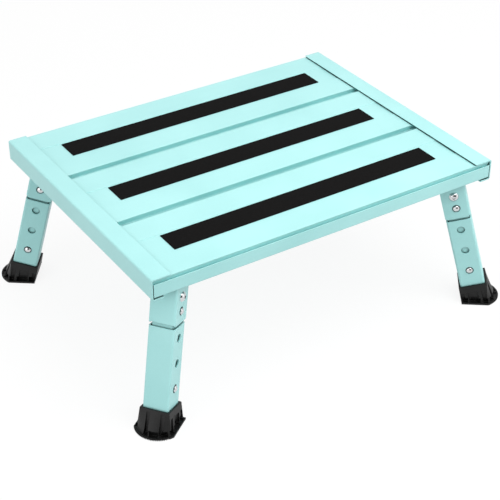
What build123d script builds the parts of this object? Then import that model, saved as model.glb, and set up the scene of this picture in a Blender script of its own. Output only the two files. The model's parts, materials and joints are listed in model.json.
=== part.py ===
"""Caravan entry step: a slatted aluminium platform on four folding, telescopic legs.

Millimetres, +Z up, +X along the planks. The origin is on the ground, in the middle of the four legs.
Every leg piece is drawn once in leg coordinates: the fold pivot is the origin, +X is outwards,
+Z is up the leg and +Y is the side that carries the buttons. Each corner then gets its own copy.
"""
import os
from math import asin, cos, radians, sin, sqrt, tan

from build123d import *

os.makedirs("parts", exist_ok=True)

# Platform
deck_height = 201.5
deck_length = 483.0
plank_count = 3
plank_width = 115.5
plank_gap = 10.4
plank_thickness = 22.0
plank_wall = 2.0
plank_side_wall = 5.0
plank_rib = 1.8
plank_cells = 3
plank_end_clearance = 1.0
plank_edge_radius = 1.2
plank_top_radius = 0.4
front_lip_drop = 4.2
front_lip_reach = 1.85
front_groove_depth = 8.0
front_groove_inset = 2.6

# Grip tape in a shallow band along each plank
tape_length = 375.0
tape_width = 33.4
tape_thickness = 0.8
tape_band_width = 39.0
tape_band_depth = 0.5

# End rails: channels that take the plank ends
rail_wall = 1.6
rail_top_lip = 24.5
rail_bottom_lip = 15.0
rail_top_clearance = 0.8
rail_bottom_gap = 1.6
rail_outer_radius = 2.5
rail_edge_radius = 0.4
rail_lip_bevel = 1.0

# Blind rivets
rivet_shank = 4.8
rivet_head = 8.0
rivet_head_height = 1.6
rivet_bulb = 6.4
rivet_bulb_height = 3.5
rivet_spacer = 9.0
rivet_hole_clearance = 0.05
rail_rivet_pitch = 72.0
rail_rivet_inset = 9.5

# Leg axis: where it crosses the plank tops, in from the platform's edges, and its two angles
leg_inset_x = 44.7
leg_inset_y = 31.05
leg_plan_angle = 36.6
leg_splay = 15.0
pivot_below_deck = 45.0

# Tubes
inner_tube_size = 26.5
inner_tube_wall = 2.0
tube_clearance = 0.95
outer_tube_wall = 1.8
tube_corner_radius = 2.5
tube_gap_below_bracket = 3.6
hole_steps = 2
first_hole_below_rim = 14.6
last_hole_above_end = 40.0
inner_tube_tail = 26.0
lug_radius = 13.0
lug_shoulder = 2.0

# Corner bracket
bracket_wall = 2.0
bracket_clearance = 1.05
bracket_below_pivot = 32.4
bracket_corner_radius = 2.5
bracket_web_lift = 2.0
cheek_inner_radius = 3.0
bracket_plate = 2.5
bracket_tab = 50.0
bracket_rivet_near = 5.0
bracket_rivet_far = -42.0
bracket_rivet_spread = 16.0

# Pivot bolt and nut
bolt_diameter = 7.0
bolt_fit = 0.05
bolt_head = 12.5
bolt_head_height = 3.6
bolt_socket = 4.0
bolt_socket_depth = 2.0
nut_flats = 11.0
nut_height = 6.5
bolt_end = 1.5

# Snap buttons and their leaf springs
button_diameter = 8.2
button_clearance = 1.1
button_guide_clearance = 0.08
button_wall_gap = 0.1
button_proud = 2.6
button_edge = 0.6
button_flange = 12.0
button_flange_height = 1.2
fold_button_below_pivot = 17.5
spring_width = 10.0
spring_thickness = 0.8
spring_length = 24.0
spring_wall_gap = 0.3

# Rubber boots
boot_wall = 2.4
boot_depth = 16.5
boot_sole = 9.6
boot_fit = 0.05
boot_base_radius = 29.7
boot_base_half_width = 25.5
boot_base_back = 19.5
boot_rim_bulge = 0.6
boot_flange = 2.4
boot_flange_margin = 3.2
boot_rib_start = 3.0
boot_side_rib_start = 9.0
boot_rib_depth_clearance = 0.3
boot_side_pockets = [(-15.2, 4.3), (-2.1, 12.8), (12.0, 5.7)]
boot_nose_pocket = 4.6
boot_nose_pocket_pitch = 18.0
boot_nose_pocket_shift = 2.4
boot_notch_count = 25
boot_notch_width = 1.1
boot_notch_depth = 1.2
boot_notch_range = 100.0

# Values that follow
splay = radians(leg_splay)
plan = radians(leg_plan_angle)
plank_pitch = plank_width + plank_gap
deck_width = plank_count * plank_width + (plank_count - 1) * plank_gap
plank_length = deck_length - 2 * (rail_wall + plank_end_clearance)
plank_bottom = deck_height - plank_thickness
leg_axis_x = deck_length / 2 - leg_inset_x
leg_axis_y = deck_width / 2 - leg_inset_y
pivot_height = deck_height - pivot_below_deck * cos(splay)
pivot_to_plank = plank_bottom - pivot_height
pivot_reach = pivot_below_deck * sin(splay)
bracket_inside = inner_tube_size + 2 * bracket_clearance
bracket_size = bracket_inside + 2 * bracket_wall
outer_tube_inside = inner_tube_size + 2 * tube_clearance
outer_tube_size = outer_tube_inside + 2 * outer_tube_wall
inner_tube_inside = inner_tube_size - 2 * inner_tube_wall
outer_tube_top = -bracket_below_pivot - tube_gap_below_bracket
ground_z = -pivot_height / cos(splay)
outer_tube_bottom = ground_z + boot_sole
outer_tube_length = outer_tube_top - outer_tube_bottom
hole_top = outer_tube_top - first_hole_below_rim
height_button_z = outer_tube_bottom + last_hole_above_end
hole_pitch = (hole_top - height_button_z) / hole_steps
inner_tube_bottom = height_button_z - inner_tube_tail
button_hole = button_diameter + 2 * button_clearance
boot_rim_z = outer_tube_bottom + boot_depth
boot_size = outer_tube_size + 2 * boot_wall

# Level planes in leg coordinates: the underside of the planks, and the ground
level_x = (cos(splay), 0, -sin(splay))
level_z = (sin(splay), 0, cos(splay))
plank_underside = Plane(origin=(0, 0, pivot_to_plank / cos(splay)), x_dir=level_x, z_dir=level_z)
ground = Plane(origin=(0, 0, ground_z), x_dir=level_x, z_dir=level_z)

# Corner names and the signs of their x and y
corners = {"front_left": (-1, -1), "front_right": (1, -1), "rear_left": (-1, 1), "rear_right": (1, 1)}


def save(piece, name):
    """Labels one finished piece and writes it."""
    piece.label = name
    export_step(piece, f"parts/{name}.step")


def leg_location(x_sign, y_sign):
    """Where leg coordinates lie at one corner."""
    outward = Vector(x_sign * cos(plan), y_sign * sin(plan), 0)
    up = Vector(0, 0, 1)
    axis_point = Vector(x_sign * leg_axis_x, y_sign * leg_axis_y, pivot_height)
    pivot = axis_point + outward * pivot_reach
    leg_up = up * cos(splay) - outward * sin(splay)
    leg_out = outward * cos(splay) + up * sin(splay)
    return Plane(origin=pivot, x_dir=leg_out, z_dir=leg_up).location


def save_legs(piece, name):
    """Writes a copy of a leg piece at each corner, its buttons always towards the front."""
    for corner, (x_sign, y_sign) in corners.items():
        handed = piece if x_sign < 0 else piece.mirror(Plane.XZ)
        save(handed.moved(leg_location(x_sign, y_sign)), f"{name}_{corner}")


def cap_middle(radius, height, seat):
    """The point half way up the profile of a spherical cap that stands on the height seat."""
    sphere = (radius ** 2 + height ** 2) / (2 * height)
    half_angle = asin(radius / sphere) / 2
    return sphere * sin(half_angle), seat + height - sphere * (1 - cos(half_angle))


# Planks: hollow extrusions with a sunk band for the tape, and a groove along the front behind a lower lip
half_width = plank_width / 2
cell_width = (plank_width - 2 * plank_side_wall - (plank_cells - 1) * plank_rib) / plank_cells
cell_height = plank_thickness - 2 * plank_wall - tape_band_depth
plank_names = ["front", "middle", "rear"]
plank_rows = [(i - (plank_count - 1) / 2) * plank_pitch for i in range(plank_count)]
rail_rivet_x = deck_length / 2 - rail_rivet_inset

bracket_rivets = []
for x_sign, y_sign in corners.values():
    for along in (bracket_rivet_near, bracket_rivet_far):
        for across in (-bracket_rivet_spread / 2, bracket_rivet_spread / 2):
            level = along + pivot_reach - pivot_to_plank * tan(splay)
            x = x_sign * (leg_axis_x + level * cos(plan) - across * sin(plan))
            y = y_sign * (leg_axis_y + level * sin(plan) + across * cos(plan))
            bracket_rivets.append((x, y))

rail_rivets = {
    side: [(sign * rail_rivet_x, row + step) for row in plank_rows
           for step in (-rail_rivet_pitch / 2, rail_rivet_pitch / 2)]
    for side, sign in (("left", -1), ("right", 1))}

for plank_name, row in zip(plank_names, plank_rows):
    with BuildPart() as plank:
        with BuildSketch(Plane.YZ.offset(-plank_length / 2)) as section:
            with BuildLine():
                Polyline(
                    (row - half_width - front_lip_reach, plank_bottom),
                    (row + half_width, plank_bottom),
                    (row + half_width, deck_height),
                    (row + tape_band_width / 2, deck_height),
                    (row + tape_band_width / 2, deck_height - tape_band_depth),
                    (row - tape_band_width / 2, deck_height - tape_band_depth),
                    (row - tape_band_width / 2, deck_height),
                    (row - half_width, deck_height),
                    (row - half_width + front_groove_inset, deck_height - front_groove_depth),
                    (row - half_width - front_lip_reach, deck_height - front_lip_drop),
                    close=True)
            make_face()
            fillet(section.vertices().group_by(Axis.X)[0].sort_by(Axis.Y)[-1], plank_top_radius)
            fillet(section.vertices().group_by(Axis.Y)[0], plank_edge_radius)
            fillet(section.vertices().group_by(Axis.Y)[-1], plank_top_radius)
            with Locations((row, plank_bottom + plank_wall + cell_height / 2)):
                with GridLocations(cell_width + plank_rib, 1, plank_cells, 1):
                    Rectangle(cell_width, cell_height, mode=Mode.SUBTRACT)
        extrude(amount=plank_length)
        near = [spot for spots in (bracket_rivets, *rail_rivets.values()) for spot in spots
                if abs(spot[1] - row) < half_width]
        with BuildSketch(Plane.XY.offset(plank_bottom)):
            with Locations(*near):
                Circle(rivet_shank / 2 + rivet_hole_clearance)
        extrude(amount=plank_wall, mode=Mode.SUBTRACT)
    save(plank.part, f"{plank_name}_plank")

    with BuildPart() as tape:
        with BuildSketch(Plane.XY.offset(deck_height - tape_band_depth)):
            with Locations((0, row)):
                Rectangle(tape_length, tape_width)
        extrude(amount=tape_thickness)
    save(tape.part, f"{plank_name}_grip_tape")

# End rails, flush with the planks' faces in front; their lower lips hang under the planks on spacers
rail_lip = plank_bottom - rail_bottom_gap
rail_bottom = rail_lip - rail_wall
rail_top = deck_height + rail_top_clearance + rail_wall
for side, sign in (("left", -1), ("right", 1)):
    outer = sign * deck_length / 2
    with BuildPart() as rail:
        with BuildSketch(Plane.XZ.offset(-deck_width / 2)) as section:
            with BuildLine():
                Polyline(
                    (outer, rail_bottom),
                    (outer - sign * rail_bottom_lip, rail_bottom),
                    (outer - sign * rail_bottom_lip, rail_lip),
                    (outer - sign * rail_wall, rail_lip),
                    (outer - sign * rail_wall, deck_height + rail_top_clearance),
                    (outer - sign * rail_top_lip, deck_height + rail_top_clearance),
                    (outer - sign * rail_top_lip, rail_top),
                    (outer, rail_top),
                    close=True)
            make_face()
            outer_corners = section.vertices().group_by(Axis.X)[0 if sign < 0 else -1]
            fillet(outer_corners, rail_outer_radius)
            lip_corners = section.vertices().group_by(Axis.X)[-1 if sign < 0 else 0]
            fillet(lip_corners.sort_by(Axis.Y)[-1], rail_edge_radius)
            lip_corners = section.vertices().group_by(Axis.X)[-1 if sign < 0 else 0]
            chamfer(lip_corners.sort_by(Axis.Y)[0], rail_lip_bevel)
        extrude(amount=deck_width + front_lip_reach)
        with BuildSketch(Plane.XY.offset(rail_bottom)):
            with Locations(*rail_rivets[side]):
                Circle(rivet_shank / 2 + rivet_hole_clearance)
        extrude(amount=rail_wall, mode=Mode.SUBTRACT)
    save(rail.part, f"{side}_rail")


def blind_rivets(spots, seat, sheet, gap):
    """A set of blind rivets, heads down at the height seat: through a sheet, a gap and a plank's wall."""
    head_x, head_z = cap_middle(rivet_head / 2, rivet_head_height, 0)
    shank = rivet_shank / 2
    grip = sheet + gap + plank_wall
    spacer = [(rivet_spacer / 2, sheet), (rivet_spacer / 2, sheet + gap), (shank, sheet + gap)] if gap else []
    with BuildPart() as rivets:
        for x, y in spots:
            with BuildSketch(Plane(origin=(x, y, seat), x_dir=(1, 0, 0), z_dir=(0, -1, 0))):
                with BuildLine():
                    ThreePointArc((0, -rivet_head_height), (head_x, -head_z), (rivet_head / 2, 0))
                    Polyline((rivet_head / 2, 0), (shank, 0), (shank, sheet), *spacer, (shank, grip),
                             (rivet_bulb / 2, grip), (shank, grip + rivet_bulb_height),
                             (0, grip + rivet_bulb_height), (0, -rivet_head_height))
                make_face()
            revolve(axis=Axis((x, y, seat), (0, 0, 1)))
    return rivets.part


for side, spots in rail_rivets.items():
    save(blind_rivets(spots, rail_bottom, rail_wall, rail_bottom_gap), f"{side}_rail_rivets")
for i, corner in enumerate(corners):
    spots = bracket_rivets[4 * i:4 * i + 4]
    save(blind_rivets(spots, plank_bottom - bracket_plate, bracket_plate, 0), f"bracket_rivets_{corner}")

# Corner bracket: a folded channel round the leg's head, with a plate that is riveted under the planks
plate_front = (bracket_size - bracket_wall) / 2 / cos(splay)
rivet_middle = (bracket_rivet_near + bracket_rivet_far) / 2
with BuildPart() as bracket:
    with BuildSketch(Plane.XY.offset(-bracket_below_pivot)) as channel:
        Rectangle(bracket_size, bracket_size)
        fillet(channel.vertices().group_by(Axis.X)[-1], bracket_corner_radius)
        with Locations((-bracket_wall, 0)):
            Rectangle(bracket_size, bracket_inside, mode=Mode.SUBTRACT)
    extrude(amount=bracket_below_pivot + pivot_to_plank + bracket_size / 2)
    split(bisect_by=plank_underside, keep=Keep.BOTTOM)
    with BuildSketch(Plane.XY.offset(-bracket_below_pivot)):
        with Locations((bracket_size / 2, 0)):
            Rectangle(2 * bracket_corner_radius, 2 * bracket_size)
    extrude(amount=bracket_web_lift, mode=Mode.SUBTRACT)
    cheek_corners = bracket.edges().filter_by(Axis.Y).group_by(Axis.X)[0].group_by(Axis.Z)[0]
    fillet(cheek_corners, cheek_inner_radius)
    with BuildSketch(plank_underside.offset(-bracket_plate)):
        with Locations(((plate_front - bracket_tab) / 2, 0)):
            Rectangle(plate_front + bracket_tab, bracket_inside)
        with Locations((rivet_middle, 0)):
            with GridLocations(bracket_rivet_near - bracket_rivet_far, bracket_rivet_spread, 2, 2):
                Circle(rivet_shank / 2 + rivet_hole_clearance, mode=Mode.SUBTRACT)
    extrude(amount=bracket_plate)
    with BuildSketch(Plane.XZ):
        Circle(bolt_diameter / 2 + bolt_fit)
    extrude(amount=bracket_size, both=True, mode=Mode.SUBTRACT)
    with BuildSketch(Plane.XZ):
        with Locations((0, -fold_button_below_pivot)):
            Circle(button_hole / 2)
    extrude(amount=-bracket_size, mode=Mode.SUBTRACT)
save_legs(bracket.part, "corner_bracket")

# Pivot bolt with a domed socket head, and its nut
bolt_seat = bracket_size / 2
bolt_tip = -bolt_seat - nut_height - bolt_end
with BuildPart() as bolt:
    with BuildSketch(Plane.XY):
        with BuildLine():
            Polyline((0, bolt_seat + bolt_head_height), (0, bolt_tip), (bolt_diameter / 2, bolt_tip),
                     (bolt_diameter / 2, bolt_seat), (bolt_head / 2, bolt_seat))
            ThreePointArc((bolt_head / 2, bolt_seat), cap_middle(bolt_head / 2, bolt_head_height, bolt_seat),
                          (0, bolt_seat + bolt_head_height))
        make_face()
    revolve(axis=Axis.Y)
    with BuildSketch(Plane.XZ.offset(-bolt_seat - bolt_head_height)):
        RegularPolygon(bolt_socket / 2, 6, major_radius=False)
    extrude(amount=bolt_socket_depth, mode=Mode.SUBTRACT)
save_legs(bolt.part, "pivot_bolt")

with BuildPart() as nut:
    with BuildSketch(Plane.XZ.offset(bolt_seat)):
        RegularPolygon(nut_flats / 2, 6, major_radius=False)
        Circle(bolt_diameter / 2 + bolt_fit, mode=Mode.SUBTRACT)
    extrude(amount=nut_height)
save_legs(nut.part, "pivot_nut")

# Inner tube: two round lugs at the pivot, and the holes that guide its two buttons
button_spots = {"fold": -fold_button_below_pivot, "height": height_button_z}
with BuildPart() as inner_tube:
    with BuildSketch(Plane.XY.offset(inner_tube_bottom)):
        RectangleRounded(inner_tube_size, inner_tube_size, tube_corner_radius)
        RectangleRounded(inner_tube_inside, inner_tube_inside, tube_corner_radius - inner_tube_wall,
                         mode=Mode.SUBTRACT)
    extrude(amount=lug_radius - inner_tube_bottom)
    with BuildSketch(Plane.XZ):
        with Locations((0, (lug_radius - lug_shoulder) / 2)):
            Rectangle(2 * inner_tube_size, lug_radius + lug_shoulder)
        Circle(lug_radius, mode=Mode.SUBTRACT)
        with Locations((0, -lug_shoulder / 2)):
            Rectangle(2 * lug_radius, lug_shoulder, mode=Mode.SUBTRACT)
    extrude(amount=inner_tube_size, both=True, mode=Mode.SUBTRACT)
    with BuildSketch(Plane.XY.offset(-lug_shoulder)):
        Rectangle(2 * inner_tube_size, inner_tube_inside)
    extrude(amount=2 * lug_radius, mode=Mode.SUBTRACT)
    with BuildSketch(Plane.XZ):
        Circle(bolt_diameter / 2 + bolt_fit)
    extrude(amount=inner_tube_size, both=True, mode=Mode.SUBTRACT)
    with BuildSketch(Plane.XZ):
        with Locations(*[(0, z) for z in button_spots.values()]):
            Circle(button_diameter / 2 + button_guide_clearance)
    extrude(amount=-inner_tube_size, mode=Mode.SUBTRACT)
save_legs(inner_tube.part, "inner_tube")

# Outer tube: slides on the inner tube, with a row of height holes
with BuildPart() as outer_tube:
    with BuildSketch(Plane.XY.offset(outer_tube_bottom)):
        RectangleRounded(outer_tube_size, outer_tube_size, tube_corner_radius)
        RectangleRounded(outer_tube_inside, outer_tube_inside, tube_corner_radius - outer_tube_wall,
                         mode=Mode.SUBTRACT)
    extrude(amount=outer_tube_length)
    with BuildSketch(Plane.XZ):
        with Locations(*[(0, hole_top - step * hole_pitch) for step in range(hole_steps + 1)]):
            Circle(button_hole / 2)
    extrude(amount=-outer_tube_size, mode=Mode.SUBTRACT)
save_legs(outer_tube.part, "outer_tube")

# Snap buttons: a flange inside the inner tube, a plain shank and a domed end, each on a bent leaf spring
flange_top = inner_tube_inside / 2 - button_wall_gap
flange_bottom = flange_top - button_flange_height
button_faces = {"fold": bracket_size / 2, "height": outer_tube_size / 2}
spring_half_gap = (flange_bottom + inner_tube_inside / 2 - spring_wall_gap - spring_thickness) / 2
spring_middle = flange_bottom - spring_thickness / 2 - spring_half_gap
for use, z in button_spots.items():
    shoulder = button_faces[use] + button_edge
    crown = button_faces[use] + button_proud
    with BuildPart() as button:
        with BuildSketch(Plane.XY.offset(z)):
            with BuildLine():
                Polyline((0, crown), (0, flange_bottom), (button_flange / 2, flange_bottom),
                         (button_flange / 2, flange_top), (button_diameter / 2, flange_top),
                         (button_diameter / 2, shoulder))
                ThreePointArc((button_diameter / 2, shoulder),
                              cap_middle(button_diameter / 2, crown - shoulder, shoulder), (0, crown))
            make_face()
        revolve(axis=Axis((0, 0, z), (0, 1, 0)))
    save_legs(button.part, f"{use}_button")

    spring_top = z + button_flange / 2
    bend = z - spring_length + spring_half_gap
    with BuildPart() as spring:
        with BuildSketch(Plane.YZ):
            with BuildLine() as leaf:
                Line((spring_middle + spring_half_gap, spring_top), (spring_middle + spring_half_gap, bend))
                ThreePointArc((spring_middle + spring_half_gap, bend),
                              (spring_middle, bend - spring_half_gap),
                              (spring_middle - spring_half_gap, bend))
                Line((spring_middle - spring_half_gap, bend), (spring_middle - spring_half_gap, spring_top))
            trace(leaf.edges(), spring_thickness)
        extrude(amount=spring_width / 2, both=True)
    save_legs(spring.part, f"{use}_spring")

# Rubber boot: a collar on the tube that flares into ribs over a round-nosed base, level on the ground
boot_half = boot_size / 2
rib_face = boot_half + boot_rib_depth_clearance


def boot_outline(margin):
    """The boot's outline on the ground, drawn in by a margin at its nose and sides."""
    radius = boot_base_radius - margin
    half = boot_base_half_width - margin
    shoulder = sqrt(radius ** 2 - half ** 2)
    with BuildSketch() as outline:
        with BuildLine():
            Polyline((shoulder, -half), (-boot_base_back, -half), (-boot_base_back, half), (shoulder, half))
            ThreePointArc((shoulder, half), (radius, 0), (shoulder, -half))
        make_face()
    return outline.sketch


flange_outline = boot_outline(0)
body_outline = boot_outline(boot_flange_margin)
with BuildPart() as boot:
    with BuildSketch(Plane.XY.offset(boot_rim_z)):
        with BuildLine():
            Polyline((boot_half, -boot_half), (-boot_half, -boot_half), (-boot_half, boot_half),
                     (boot_half, boot_half))
            ThreePointArc((boot_half, boot_half), (boot_half + boot_rim_bulge, 0), (boot_half, -boot_half))
        make_face()
    with BuildSketch(ground):
        add(body_outline)
    loft(ruled=True)
    with BuildSketch(Plane.XY.offset(boot_rim_z - boot_side_rib_start)):
        for middle, width in boot_side_pockets:
            for side in (-1, 1):
                with Locations((middle, side * (rib_face + boot_base_radius / 2))):
                    Rectangle(width, boot_base_radius)
    extrude(amount=-boot_base_radius - boot_size, mode=Mode.SUBTRACT)
    with BuildSketch(Plane.XY.offset(boot_rim_z - boot_rib_start)):
        with Locations((rib_face + boot_base_radius / 2, boot_nose_pocket_shift)):
            with GridLocations(1, boot_nose_pocket_pitch, 1, 2):
                Rectangle(boot_base_radius, boot_nose_pocket)
    extrude(amount=-boot_base_radius - boot_size, mode=Mode.SUBTRACT)
    with BuildSketch(ground):
        add(flange_outline)
        with PolarLocations(boot_base_radius, boot_notch_count, -boot_notch_range / 2, boot_notch_range):
            Rectangle(2 * boot_notch_depth, boot_notch_width, mode=Mode.SUBTRACT)
    extrude(amount=boot_flange)
    with BuildSketch(Plane.XY.offset(outer_tube_bottom)):
        RectangleRounded(outer_tube_size + 2 * boot_fit, outer_tube_size + 2 * boot_fit, tube_corner_radius)
    extrude(amount=boot_depth, mode=Mode.SUBTRACT)
save_legs(boot.part, "rubber_boot")
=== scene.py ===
# %% [markdown]
# A caravan entry step: three hollow aluminium planks with black grip tapes, two end rails, and four
# splayed legs that fold and draw out, each in a rubber boot. The solids come from CAD as a fixed frame,
# in metres. This lesson gives each of them its finish, models what CAD leaves plain, which is the grit
# on the tapes and the windows and soft edges of the boots, and sets the light and the camera.

# %% Load the frame
import json
import math

import bpy
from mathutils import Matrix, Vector


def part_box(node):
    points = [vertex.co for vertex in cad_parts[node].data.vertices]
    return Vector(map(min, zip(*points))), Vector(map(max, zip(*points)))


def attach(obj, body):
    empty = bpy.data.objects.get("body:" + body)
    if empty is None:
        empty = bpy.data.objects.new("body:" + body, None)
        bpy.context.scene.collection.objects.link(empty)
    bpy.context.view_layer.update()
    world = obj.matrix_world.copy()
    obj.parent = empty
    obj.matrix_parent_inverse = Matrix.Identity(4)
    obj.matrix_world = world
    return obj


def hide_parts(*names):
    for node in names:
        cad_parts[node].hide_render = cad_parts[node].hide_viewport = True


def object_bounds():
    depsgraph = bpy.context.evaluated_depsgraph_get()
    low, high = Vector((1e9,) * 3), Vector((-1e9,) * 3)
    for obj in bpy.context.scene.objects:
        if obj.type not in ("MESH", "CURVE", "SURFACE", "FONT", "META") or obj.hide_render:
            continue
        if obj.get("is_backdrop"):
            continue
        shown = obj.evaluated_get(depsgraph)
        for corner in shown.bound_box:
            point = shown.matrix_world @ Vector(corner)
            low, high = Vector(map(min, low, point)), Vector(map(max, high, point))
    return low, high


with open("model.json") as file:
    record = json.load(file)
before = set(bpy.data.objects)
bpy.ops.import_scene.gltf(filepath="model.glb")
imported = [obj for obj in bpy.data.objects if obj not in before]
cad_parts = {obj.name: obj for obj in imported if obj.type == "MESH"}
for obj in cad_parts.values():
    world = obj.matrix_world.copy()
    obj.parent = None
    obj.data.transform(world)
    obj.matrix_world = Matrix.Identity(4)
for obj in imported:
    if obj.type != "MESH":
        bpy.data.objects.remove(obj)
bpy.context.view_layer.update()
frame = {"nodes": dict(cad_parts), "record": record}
MM = 0.001
CORNERS = ("front_left", "front_right", "rear_left", "rear_right")
ROWS = ("front", "middle", "rear")

# %% [markdown]
# The camera stands in front of the left corner and looks down on the step. Its angle, place and lens
# were fitted to the corners of the tapes. A long lens keeps the planks nearly parallel, as product
# pictures do.

# %% Camera
PICTURE_PX = 500
FOCAL_PX = 1339.94
AZIMUTH, ELEVATION = math.radians(-32.867), math.radians(33.683)
CAMERA_PLACE = Vector((-0.79334, -1.23535, 1.03143))

bpy.ops.object.select_all(action="DESELECT")
bpy.ops.object.camera_add(location=CAMERA_PLACE)
camera = bpy.context.object
camera.name = "picture_camera"
flat = math.cos(ELEVATION)
back = Vector((math.sin(AZIMUTH) * flat, -math.cos(AZIMUTH) * flat, math.sin(ELEVATION)))
camera.rotation_euler = (-back).to_track_quat("-Z", "Y").to_euler()
camera.data.lens = FOCAL_PX / PICTURE_PX * camera.data.sensor_width
bpy.context.scene.camera = camera
bpy.context.scene.view_settings.view_transform = "Standard"
print("camera lens", round(camera.data.lens, 1), "mm")

# %% [markdown]
# Three small helpers serve every finish. Hex colours are sRGB, as a paint chart gives them, and
# Blender's sockets take linear light, so one function converts them by the sRGB curve. One starts an
# empty material. One adds a node with its settings, values and links.

# %% Colour and node helpers
def linear(hex_colour):
    """An sRGB hex colour as the linear colour that a socket takes."""
    shares = [int(hex_colour[i:i + 2], 16) / 255 for i in (1, 3, 5)]
    return [s / 12.92 if s <= 0.04045 else ((s + 0.055) / 1.055) ** 2.4 for s in shares] + [1.0]


def empty_finish(name):
    """A new material that has no nodes yet, and its node tree."""
    finish = bpy.data.materials.new(name)
    finish.use_nodes = True
    finish.node_tree.nodes.clear()
    return finish, finish.node_tree


def add_node(tree, kind, settings=None, values=None, links=None):
    """A new node with its settings, its sockets' values and the outputs that feed its sockets."""
    made = tree.nodes.new(kind)
    for name, value in (settings or {}).items():
        setattr(made, name, value)
    for socket, value in (values or {}).items():
        made.inputs[socket].default_value = value
    for socket, source in (links or {}).items():
        tree.links.new(source, made.inputs[socket])
    return made


WHITE = linear("#FFFFFF")
print("white is", WHITE, "and mid grey", [round(c, 3) for c in linear("#808080")])

# %% [markdown]
# The backdrop is white, and three kinds of ray find three rooms. The camera sees white. Reflections,
# which show in the polished buttons, find a studio that is white all round but for its dark ceiling and
# dark front. The rays that light things find one plain level. Walls and cards could do this too, but
# the Light Path node gives each ray its room with nothing to model.

# %% White room
ROOM_LEVEL = 0.74
CEILING_LEVEL = 0.15
CEILING_STARTS, CEILING_FULL = math.sin(math.radians(40)), math.sin(math.radians(62))
DARK_FRONT_LEVEL = 0.1
DARK_FRONT_STARTS, DARK_FRONT_FULL = -0.5, -0.8


def seen_rays(tree, path):
    """1 for rays from the camera, a reflection or through glass, and 0 for the rays that light things."""
    direct = add_node(tree, "ShaderNodeMath", {"operation": "ADD"}, links={
        0: path.outputs["Is Camera Ray"], 1: path.outputs["Is Glossy Ray"]})
    return add_node(tree, "ShaderNodeMath", {"operation": "ADD", "use_clamp": True}, links={
        0: direct.outputs[0], 1: path.outputs["Is Transmission Ray"]}).outputs[0]


world = bpy.data.worlds.new("white_room")
world.use_nodes = True
bpy.context.scene.world = world
tree = world.node_tree
tree.nodes.clear()
path = add_node(tree, "ShaderNodeLightPath")
room = add_node(tree, "ShaderNodeBackground", values={"Color": WHITE, "Strength": ROOM_LEVEL})
bearing = add_node(tree, "ShaderNodeTexCoord").outputs["Generated"]
ray = add_node(tree, "ShaderNodeSeparateXYZ", links={0: bearing})
ceiling = add_node(tree, "ShaderNodeMapRange", {"interpolation_type": "SMOOTHSTEP"}, {
    "From Min": CEILING_STARTS, "From Max": CEILING_FULL, "To Min": 1.0, "To Max": CEILING_LEVEL},
    {"Value": ray.outputs["Z"]})
dark_front = add_node(tree, "ShaderNodeMapRange", {"interpolation_type": "SMOOTHSTEP"}, {
    "From Min": DARK_FRONT_FULL, "From Max": DARK_FRONT_STARTS, "To Min": DARK_FRONT_LEVEL, "To Max": 1.0},
    {"Value": ray.outputs["Y"]})
studio = add_node(tree, "ShaderNodeMath", {"operation": "MULTIPLY"}, links={
    0: ceiling.outputs[0], 1: dark_front.outputs[0]})
dimmer = add_node(tree, "ShaderNodeMath", {"operation": "SUBTRACT"}, {1: 1.0}, {0: studio.outputs[0]})
level = add_node(tree, "ShaderNodeMath", {"operation": "MULTIPLY_ADD"}, {2: 1.0}, {
    0: dimmer.outputs[0], 1: path.outputs["Is Glossy Ray"]})
backdrop = add_node(tree, "ShaderNodeBackground", values={"Color": WHITE},
                    links={"Strength": level.outputs[0]})
shown = add_node(tree, "ShaderNodeMixShader", links={
    0: seen_rays(tree, path), 1: room.outputs[0], 2: backdrop.outputs[0]})
add_node(tree, "ShaderNodeOutputWorld", links={"Surface": shown.outputs[0]})
print("room level", ROOM_LEVEL, "ceiling", CEILING_LEVEL, "front", DARK_FRONT_LEVEL)

# %% [markdown]
# The step stands on a pale floor that keeps a faint shadow. To the camera most of the floor's light is
# its own white, and the rest is matt and takes the shadow. To the rays that light things the floor is
# plain matt grey, so the undersides stay darker than the sides.

# %% Floor
FLOOR_SIZE = 8.0
FLOOR_WHITE_SHARE = 0.88

bpy.ops.object.select_all(action="DESELECT")
bpy.ops.mesh.primitive_plane_add(size=FLOOR_SIZE)
floor = bpy.context.object
floor.name = "studio_floor"
white_floor, tree = empty_finish("pale_studio_floor")
seen = seen_rays(tree, add_node(tree, "ShaderNodeLightPath"))
pale = add_node(tree, "ShaderNodeMix", {"data_type": "RGBA"}, {"A": linear("#AAAAAA"), "B": WHITE},
                {"Factor": seen})
matt = add_node(tree, "ShaderNodeBsdfDiffuse", links={"Color": pale.outputs["Result"]})
white = add_node(tree, "ShaderNodeEmission", values={"Color": WHITE, "Strength": 1.0})
share = add_node(tree, "ShaderNodeMath", {"operation": "MULTIPLY"}, {1: FLOOR_WHITE_SHARE}, {0: seen})
surface = add_node(tree, "ShaderNodeMixShader", links={
    0: share.outputs[0], 1: matt.outputs[0], 2: white.outputs[0]})
add_node(tree, "ShaderNodeOutputMaterial", links={"Surface": surface.outputs[0]})
floor.data.materials.append(white_floor)
floor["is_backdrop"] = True
print("floor", FLOOR_SIZE, "m")

# %% [markdown]
# Three large soft boxes do the rest. The one overhead makes the tops the brightest faces. The one on
# the left is nearer to the left legs than to the right ones, so it lifts the left rail and the left
# legs. The one at the front right stands farther off, and lifts the long front edge and the right legs.

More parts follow.
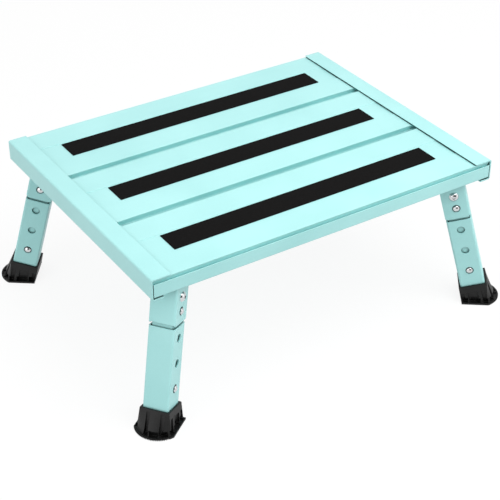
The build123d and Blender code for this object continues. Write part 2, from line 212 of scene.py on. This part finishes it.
# %% Soft boxes
LAMPS = {
    "overhead_box": {"place": Vector((0.3, -0.65, 1.3)), "size": 1.1, "power": 11.4},
    "left_box": {"place": Vector((-1.4, -0.2, 0.6)), "size": 1.0, "power": 4.2},
    "front_right_box": {"place": Vector((1.3, -1.9, 0.7)), "size": 1.4, "power": 6.5},
}
for name, lamp in LAMPS.items():
    bpy.ops.object.select_all(action="DESELECT")
    bpy.ops.object.light_add(type="AREA", location=lamp["place"])
    box = bpy.context.object
    box.name = name
    box.rotation_euler = (-lamp["place"]).to_track_quat("-Z", "Y").to_euler()
    box.data.size = lamp["size"]
    box.data.energy = lamp["power"]
    print(name, lamp["power"], "W")

# %% [markdown]
# Planks, rails, brackets and tubes share one finish: satin powder coat. Powder melts into a skin with a
# faint orange peel a millimetre or two across, and its pigment is never quite even. The Bevel node
# rounds the light on sharp edges, because melted powder pulls back from them. In a white room light
# leaks into every gap, so shade is painted into the colour: the Ambient Occlusion node finds the places
# with another face a few millimetres away, and there the colour is mixed towards a dark teal as painted
# shade. The groove along each plank is wide and stays light: a second node, which sees only the piece
# itself, takes the plank's own share of painted shade back out.

# %% Powder coat
CLOUD_MM = 90.0
SPECK_MM = 1.1
SPECK_SHARE = 0.35
PIGMENT_LOW, PIGMENT_HIGH = 0.45, 0.9
SATIN_LOW, SATIN_HIGH = 0.34, 0.44
PAINT_IOR = 1.5
PEEL_MM = 2.4
PEEL_DEPTH_MM = 0.1
PEEL_STRENGTH = 0.08
SOFT_EDGE_MM = 0.5
GAP_SHADE_MM = 4.0
GAP_SHADE_FULL_AT = 0.25
PLANKS_SHADE_FREE_AT = 0.7
LEGS_SHADE_FREE_AT = 0.88


def powder_coat(name, own_folds, open_at):
    """Satin turquoise powder coat with a faint orange peel, and painted shade in gaps.

    own_folds is the share of the piece's own folds that count as gaps and get painted shade, and open_at
    the AO share from which the paint keeps its full colour, with no painted shade.
    """
    finish, tree = empty_finish(name)
    place = add_node(tree, "ShaderNodeTexCoord").outputs["Object"]
    clouds = add_node(tree, "ShaderNodeTexNoise", values={"Scale": 1 / (CLOUD_MM * MM), "Detail": 2.0},
                      links={"Vector": place})
    specks = add_node(tree, "ShaderNodeTexNoise", values={"Scale": 1 / (SPECK_MM * MM), "Detail": 1.0},
                      links={"Vector": place})
    uneven = add_node(tree, "ShaderNodeMath", {"operation": "MULTIPLY_ADD"}, {1: SPECK_SHARE},
                      {0: specks.outputs["Fac"], 2: clouds.outputs["Fac"]})
    pigment = add_node(tree, "ShaderNodeValToRGB", links={"Fac": uneven.outputs[0]})
    pigment.color_ramp.elements[0].position = PIGMENT_LOW
    pigment.color_ramp.elements[0].color = linear("#A6DFDE")
    pigment.color_ramp.elements[1].position = PIGMENT_HIGH
    pigment.color_ramp.elements[1].color = linear("#B0E7E6")
    # Painted shade: the Ambient Occlusion nodes find faces close by, and there the colour is mixed towards
    # a dark teal.
    reach = {"Distance": GAP_SHADE_MM * MM}
    nearness = add_node(tree, "ShaderNodeAmbientOcclusion", {"samples": 8}, reach)
    folds = add_node(tree, "ShaderNodeAmbientOcclusion", {"samples": 8, "only_local": True}, reach)
    lift = add_node(tree, "ShaderNodeMath", {"operation": "MULTIPLY_ADD"},
                    {1: own_folds - 1.0, 2: 1.0 - own_folds}, {0: folds.outputs["AO"]})
    apart = add_node(tree, "ShaderNodeMath", {"operation": "ADD"}, links={
        0: nearness.outputs["AO"], 1: lift.outputs[0]})
    unshaded_share = add_node(tree, "ShaderNodeMapRange", values={"From Min": GAP_SHADE_FULL_AT, "From Max": open_at},
                        links={"Value": apart.outputs[0]})
    # Painted shade: the pigment mixed towards dark teal #1E4644 where other faces stand close.
    colour = add_node(tree, "ShaderNodeMix", {"data_type": "RGBA"}, {"A": linear("#1E4644")},
                      {"Factor": unshaded_share.outputs[0], "B": pigment.outputs["Color"]})
    satin = add_node(tree, "ShaderNodeMapRange", values={"To Min": SATIN_LOW, "To Max": SATIN_HIGH},
                     links={"Value": clouds.outputs["Fac"]})
    peel = add_node(tree, "ShaderNodeTexNoise", values={"Scale": 1 / (PEEL_MM * MM), "Detail": 1.0},
                    links={"Vector": place})
    soft_edge = add_node(tree, "ShaderNodeBevel", {"samples": 6}, {"Radius": SOFT_EDGE_MM * MM})
    skin = add_node(tree, "ShaderNodeBump",
                    values={"Strength": PEEL_STRENGTH, "Distance": PEEL_DEPTH_MM * MM},
                    links={"Height": peel.outputs["Fac"], "Normal": soft_edge.outputs[0]})
    paint = add_node(tree, "ShaderNodeBsdfPrincipled", values={"IOR": PAINT_IOR}, links={
        "Base Color": colour.outputs["Result"], "Roughness": satin.outputs[0], "Normal": skin.outputs[0]})
    add_node(tree, "ShaderNodeOutputMaterial", links={"Surface": paint.outputs[0]})
    return finish


plank_coat = powder_coat("turquoise_powder_coat_on_planks", own_folds=0.0, open_at=PLANKS_SHADE_FREE_AT)
leg_coat = powder_coat("turquoise_powder_coat_on_rails_and_legs", own_folds=1.0, open_at=LEGS_SHADE_FREE_AT)
print("made", plank_coat.name, leg_coat.name)

# %% [markdown]
# Grip tape is a plastic film coated with mineral grit in black resin. The resin is matt, and here and
# there a greyer grain catches the light, so a cell pattern the size of a grain sets both the shade and
# the bump.

# %% Grit finish
GRAIN_MM = 0.9
GRAIN_DEPTH_MM = 0.2
GRAIN_STRENGTH = 0.5


def mineral_grit():
    """Black mineral grit in resin: matt, with a fine grain and a few grey grains that catch the light."""
    finish, tree = empty_finish("black_mineral_grit")
    place = add_node(tree, "ShaderNodeTexCoord").outputs["Object"]
    grains = add_node(tree, "ShaderNodeTexVoronoi", values={"Scale": 1 / (GRAIN_MM * MM)},
                      links={"Vector": place})
    shade = add_node(tree, "ShaderNodeValToRGB", links={"Fac": grains.outputs["Color"]})
    shade.color_ramp.elements[0].color = linear("#080808")
    shade.color_ramp.elements[1].color = linear("#141313")
    skin = add_node(tree, "ShaderNodeBump", links={"Height": grains.outputs["Distance"]}, values={
        "Strength": GRAIN_STRENGTH, "Distance": GRAIN_DEPTH_MM * MM})
    resin = add_node(tree, "ShaderNodeBsdfPrincipled", values={"Roughness": 0.9, "Specular IOR Level": 0.1},
                     links={"Base Color": shade.outputs["Color"], "Normal": skin.outputs[0]})
    add_node(tree, "ShaderNodeOutputMaterial", links={"Surface": resin.outputs[0]})
    return finish


black_grit = mineral_grit()
print("made", black_grit.name)

# %% [markdown]
# The grit is what a shoe feels. A bump would look the same from afar, but leave the mesh flat, so each
# tape is modelled as a fine grid that a noise texture roughens, then given its thickness.

# %% Gritted tapes
GRIT_PITCH_MM = 1.0
GRIT_HEIGHT_MM = 0.25
GRIT_NOISE_MM = 1.5
FILM_MM = 0.5


def apply_modifier(piece, kind, settings):
    """Give the active piece a modifier with its settings, and apply it."""
    bpy.ops.object.modifier_add(type=kind)
    added = piece.modifiers[-1]
    for name, value in settings.items():
        setattr(added, name, value)
    bpy.ops.object.modifier_apply(modifier=added.name)


grit_noise = bpy.data.textures.new("grit_noise", "CLOUDS")
grit_noise.noise_scale = GRIT_NOISE_MM * MM
for row in ROWS:
    low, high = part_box(f"{row}_grip_tape")
    size = high - low
    middle = (low + high) / 2
    bpy.ops.object.select_all(action="DESELECT")
    bpy.ops.mesh.primitive_grid_add(
        x_subdivisions=round(size.x / (GRIT_PITCH_MM * MM)),
        y_subdivisions=round(size.y / (GRIT_PITCH_MM * MM)),
        size=1, location=(middle.x, middle.y, high.z - GRIT_HEIGHT_MM * MM / 2))
    tape = bpy.context.object
    tape.name = f"gritted_tape_{row}"
    tape.scale = (size.x, size.y, 1)
    bpy.ops.object.transform_apply(location=True, rotation=True, scale=True)
    apply_modifier(tape, "DISPLACE", {"texture": grit_noise, "strength": GRIT_HEIGHT_MM * MM})
    apply_modifier(tape, "SOLIDIFY", {"thickness": FILM_MM * MM})
    tape.data.materials.append(black_grit)
    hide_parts(f"{row}_grip_tape")
    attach(tape, "platform")
    print(tape.name, len(tape.data.polygons), "faces")

# %% [markdown]
# The boots are moulded rubber, half matt, with a fine grain from the mould and a faint bloom. Their
# pockets are narrow and look black, so the Ambient Occlusion node paints shade into the rubber there,
# mixing it towards near black, as it paints shade into the paint in gaps.

# %% Rubber finish
BLOOM_MM = 14.0
BLOOM_LOW, BLOOM_HIGH = 0.3, 0.75
RUBBER_GRAIN_MM = 0.9
RUBBER_GRAIN_DEPTH_MM = 0.1
RUBBER_GRAIN_STRENGTH = 0.15
POCKET_SHADE_MM = 8.0
POCKET_SHADE_FULL_AT, POCKET_SHADE_FREE_AT = 0.45, 0.95


def moulded_rubber():
    """Black moulded rubber: half matt, with a fine grain, and painted shade that darkens the pockets to
    near black.
    """
    finish, tree = empty_finish("black_moulded_rubber")
    place = add_node(tree, "ShaderNodeTexCoord").outputs["Object"]
    bloom = add_node(tree, "ShaderNodeTexNoise", values={"Scale": 1 / (BLOOM_MM * MM), "Detail": 3.0},
                     links={"Vector": place})
    shade = add_node(tree, "ShaderNodeValToRGB", links={"Fac": bloom.outputs["Fac"]})
    shade.color_ramp.elements[0].position = BLOOM_LOW
    shade.color_ramp.elements[0].color = linear("#0A0A0A")
    shade.color_ramp.elements[1].position = BLOOM_HIGH
    shade.color_ramp.elements[1].color = linear("#131313")
    # Painted shade: in the narrow pockets the rubber is mixed towards near black #010101.
    nearness = add_node(tree, "ShaderNodeAmbientOcclusion", {"samples": 8}, {"Distance": POCKET_SHADE_MM * MM})
    unshaded_share = add_node(tree, "ShaderNodeMapRange", links={"Value": nearness.outputs["AO"]},
                        values={"From Min": POCKET_SHADE_FULL_AT, "From Max": POCKET_SHADE_FREE_AT})
    black = add_node(tree, "ShaderNodeMix", {"data_type": "RGBA"}, {"A": linear("#010101")},
                     {"Factor": unshaded_share.outputs[0], "B": shade.outputs["Color"]})
    grain = add_node(tree, "ShaderNodeTexNoise", links={"Vector": place}, values={
        "Scale": 1 / (RUBBER_GRAIN_MM * MM), "Detail": 2.0})
    skin = add_node(tree, "ShaderNodeBump", links={"Height": grain.outputs["Fac"]}, values={
        "Strength": RUBBER_GRAIN_STRENGTH, "Distance": RUBBER_GRAIN_DEPTH_MM * MM})
    rubber = add_node(tree, "ShaderNodeBsdfPrincipled",
                      values={"Roughness": 0.5, "Specular IOR Level": 0.35},
                      links={"Base Color": black.outputs["Result"], "Normal": skin.outputs[0]})
    add_node(tree, "ShaderNodeOutputMaterial", links={"Surface": rubber.outputs[0]})
    return finish


black_rubber = moulded_rubber()
print("made", black_rubber.name)

# %% [markdown]
# Low windows between a boot's ribs, just over its flange, go deep into the sole. They are cut by boxes
# that stand round the foot: the leg's slide gives the way that the foot points, and its hinge the
# place. A window in the nose has a turn from the way the foot points, in degrees, and one in a side has
# a place along the foot, in millimetres. Both have a width. The other sizes are how far the boxes
# reach, and between which heights.

# %% Boxes for the boots' windows
NOSE_WINDOWS = ((-15.0, 6.5), (8.0, 11.0), (38.0, 8.0))
SIDE_WINDOWS = ((-14.0, 5.0), (-1.0, 12.0), (12.0, 6.0))
NOSE_WINDOW = {"near": 21.0, "far": 27.5, "low": 0.9, "high": 7.6}
SIDE_WINDOW = {"near": 17.5, "far": 24.0, "low": 0.9, "high": 7.6}
JOINTS = {joint["name"]: joint for joint in frame["record"]["behaviour"]["joints"]}


def heading(bearing):
    """A level step of one metre along a bearing."""
    return Vector((math.cos(bearing), math.sin(bearing), 0))


def cutter(place, bearing, width, reach):
    """A box of a given width and reach that stands off a place along a bearing."""
    middle = place + heading(bearing) * (reach["near"] + reach["far"]) / 2 * MM
    middle.z = (reach["low"] + reach["high"]) / 2 * MM
    bpy.ops.object.select_all(action="DESELECT")
    bpy.ops.mesh.primitive_cube_add(size=1, location=middle, rotation=(0, 0, bearing))
    box = bpy.context.object
    box.scale = Vector((reach["far"] - reach["near"], width, reach["high"] - reach["low"])) * MM
    return box


def boot_cutters(corner):
    """The boxes for the windows of one boot, joined into one object."""
    down = Vector(JOINTS[f"leg_height_{corner}"]["axis"])
    pivot = Vector(JOINTS[f"leg_fold_{corner}"]["pos_m"])
    foot = pivot - down * (pivot.z / down.z)
    nose = math.atan2(down.y, down.x)
    hand = -1 if down.x > 0 else 1
    boxes = []
    for turn, width in NOSE_WINDOWS:
        boxes.append(cutter(foot, nose + hand * math.radians(turn), width, NOSE_WINDOW))
    for along, width in SIDE_WINDOWS:
        place = foot + heading(nose) * along * MM
        for side in (-1, 1):
            boxes.append(cutter(place, nose + side * math.pi / 2, width, SIDE_WINDOW))
    for box in boxes:
        box.select_set(True)
    bpy.ops.object.join()
    return bpy.context.object


print("each boot gets", len(NOSE_WINDOWS) + 2 * len(SIDE_WINDOWS), "windows")

# %% [markdown]
# A mould has no sharp edges, and the round edges of the ribs are where the light catches. A bevel would
# miss the short edges where ribs and flange meet, so the boot, once its windows are cut, is remeshed in
# small cells and smoothed, which rounds every edge alike. Then half of its faces are enough.

# %% Moulded boots
MERGE_MM = 0.001
BOOT_CELL_MM = 0.4
BOOT_SMOOTH_STEPS = 1
BOOT_KEEP = 0.5


def choose(piece):
    """Make one piece the only one that is selected, and the active one."""
    bpy.ops.object.select_all(action="DESELECT")
    piece.select_set(True)
    bpy.context.view_layer.objects.active = piece


for corner in CORNERS:
    node = f"rubber_boot_{corner}"
    boot = bpy.data.objects.new(f"moulded_boot_{corner}", frame["nodes"][node].data.copy())
    bpy.context.collection.objects.link(boot)
    choose(boot)
    bpy.ops.object.mode_set(mode="EDIT")
    bpy.ops.mesh.select_all(action="SELECT")
    bpy.ops.mesh.remove_doubles(threshold=MERGE_MM * MM)
    bpy.ops.object.mode_set(mode="OBJECT")
    cutters = boot_cutters(corner)
    choose(boot)
    apply_modifier(boot, "BOOLEAN", {"operation": "DIFFERENCE", "object": cutters})
    bpy.data.objects.remove(cutters)
    boot.data.remesh_voxel_size = BOOT_CELL_MM * MM
    bpy.ops.object.voxel_remesh()
    apply_modifier(boot, "SMOOTH", {"iterations": BOOT_SMOOTH_STEPS})
    apply_modifier(boot, "DECIMATE", {"ratio": BOOT_KEEP})
    bpy.ops.object.shade_smooth()
    boot.data.materials.clear()
    boot.data.materials.append(black_rubber)
    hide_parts(node)
    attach(boot, f"foot_{corner}")
    print(boot.name, len(boot.data.polygons), "faces")

# %% [markdown]
# The bolts, nuts and snap buttons are plated steel, the springs are drawn spring strip and the rivets
# are plain aluminium. All three are one kind of material, bare metal, and differ in colour, polish and
# the marks of making.

# %% Bare metals
POLISH_SPREAD = 0.3


def bare_metal(name, dark, light, roughness, mark_mm):
    """A bare metal: its colour between two tones, its polish, and the size of its marks."""
    finish, tree = empty_finish(name)
    place = add_node(tree, "ShaderNodeTexCoord").outputs["Object"]
    marks = add_node(tree, "ShaderNodeTexNoise", values={"Scale": 1 / (mark_mm * MM), "Detail": 3.0},
                     links={"Vector": place})
    tone = add_node(tree, "ShaderNodeValToRGB", links={"Fac": marks.outputs["Fac"]})
    tone.color_ramp.elements[0].color = linear(dark)
    tone.color_ramp.elements[1].color = linear(light)
    polish = add_node(tree, "ShaderNodeMapRange", links={"Value": marks.outputs["Fac"]}, values={
        "To Min": (1 - POLISH_SPREAD) * roughness, "To Max": (1 + POLISH_SPREAD) * roughness})
    metal = add_node(tree, "ShaderNodeBsdfPrincipled", values={"Metallic": 1.0}, links={
        "Base Color": tone.outputs["Color"], "Roughness": polish.outputs[0]})
    add_node(tree, "ShaderNodeOutputMaterial", links={"Surface": metal.outputs[0]})
    return finish


plated_steel = bare_metal("nickel_plated_steel", "#B9BBBD", "#E4E5E6", roughness=0.1, mark_mm=1.5)
spring_strip = bare_metal("drawn_spring_steel", "#8A8B8E", "#A9AAAC", roughness=0.32, mark_mm=0.8)
plain_aluminium = bare_metal("plain_aluminium", "#B9BABC", "#CFD0D1", roughness=0.36, mark_mm=1.0)
print("made", plated_steel.name, spring_strip.name, plain_aluminium.name)

# %% [markdown]
# Now every solid gets its finish, by the material slot that the record gives it.

# %% Finish the CAD solids
FINISHES = {
    "plank_paint": plank_coat, "rail_paint": leg_coat, "leg_paint": leg_coat, "grip_tape": black_grit,
    "boot_rubber": black_rubber, "bright_steel": plated_steel, "spring_steel": spring_strip,
    "rivet": plain_aluminium,
}
for part in frame["record"]["subparts"]:
    solid = frame["nodes"][part["node"]]
    for slot in solid.material_slots:
        slot.material = FINISHES[part["material_slot"]]

# %% [markdown]
# Dressing the step must not change its size, so the box of what is shown is printed, in millimetres.

# %% Sizes
low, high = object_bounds()
print("visual", [round(side / MM, 1) for side in high - low], "mm")
